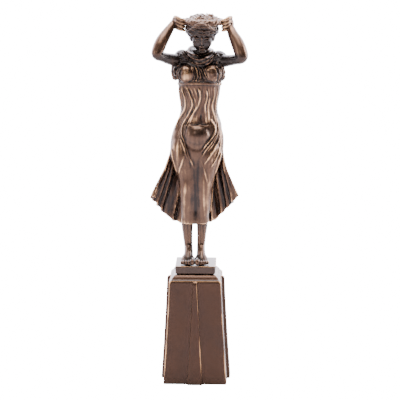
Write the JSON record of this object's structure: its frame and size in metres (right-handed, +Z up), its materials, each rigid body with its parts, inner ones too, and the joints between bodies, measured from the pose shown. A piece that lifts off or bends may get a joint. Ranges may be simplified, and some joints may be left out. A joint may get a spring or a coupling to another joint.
{
  "type": "bronze female figure",
  "caption": "Cast statuette of a standing woman in a pleated dress lifting a wreath onto her head, on a square plinth and a flared, ribbed pedestal.",
  "frame": {"origin": "the middle of the pedestal's flat underside", "axes": "+Z up; the figure faces -Y; +X is to the right as one looks at her face"},
  "size_m": [0.097, 0.0694, 0.3705],
  "materials": {
    "figure_bronze": "brown patinated bronze, rubbed to copper on the raised folds",
    "plinth_bronze": "dark grey-brown patinated bronze, satin",
    "pedestal_bronze": "dark red-brown patinated bronze, satin, worn to copper on the edges"
  },
  "bodies": {
    "root": {"female_figure": "figure_bronze", "square_plinth": "plinth_bronze", "flared_pedestal": "pedestal_bronze"}
  },
  "joints": []
}
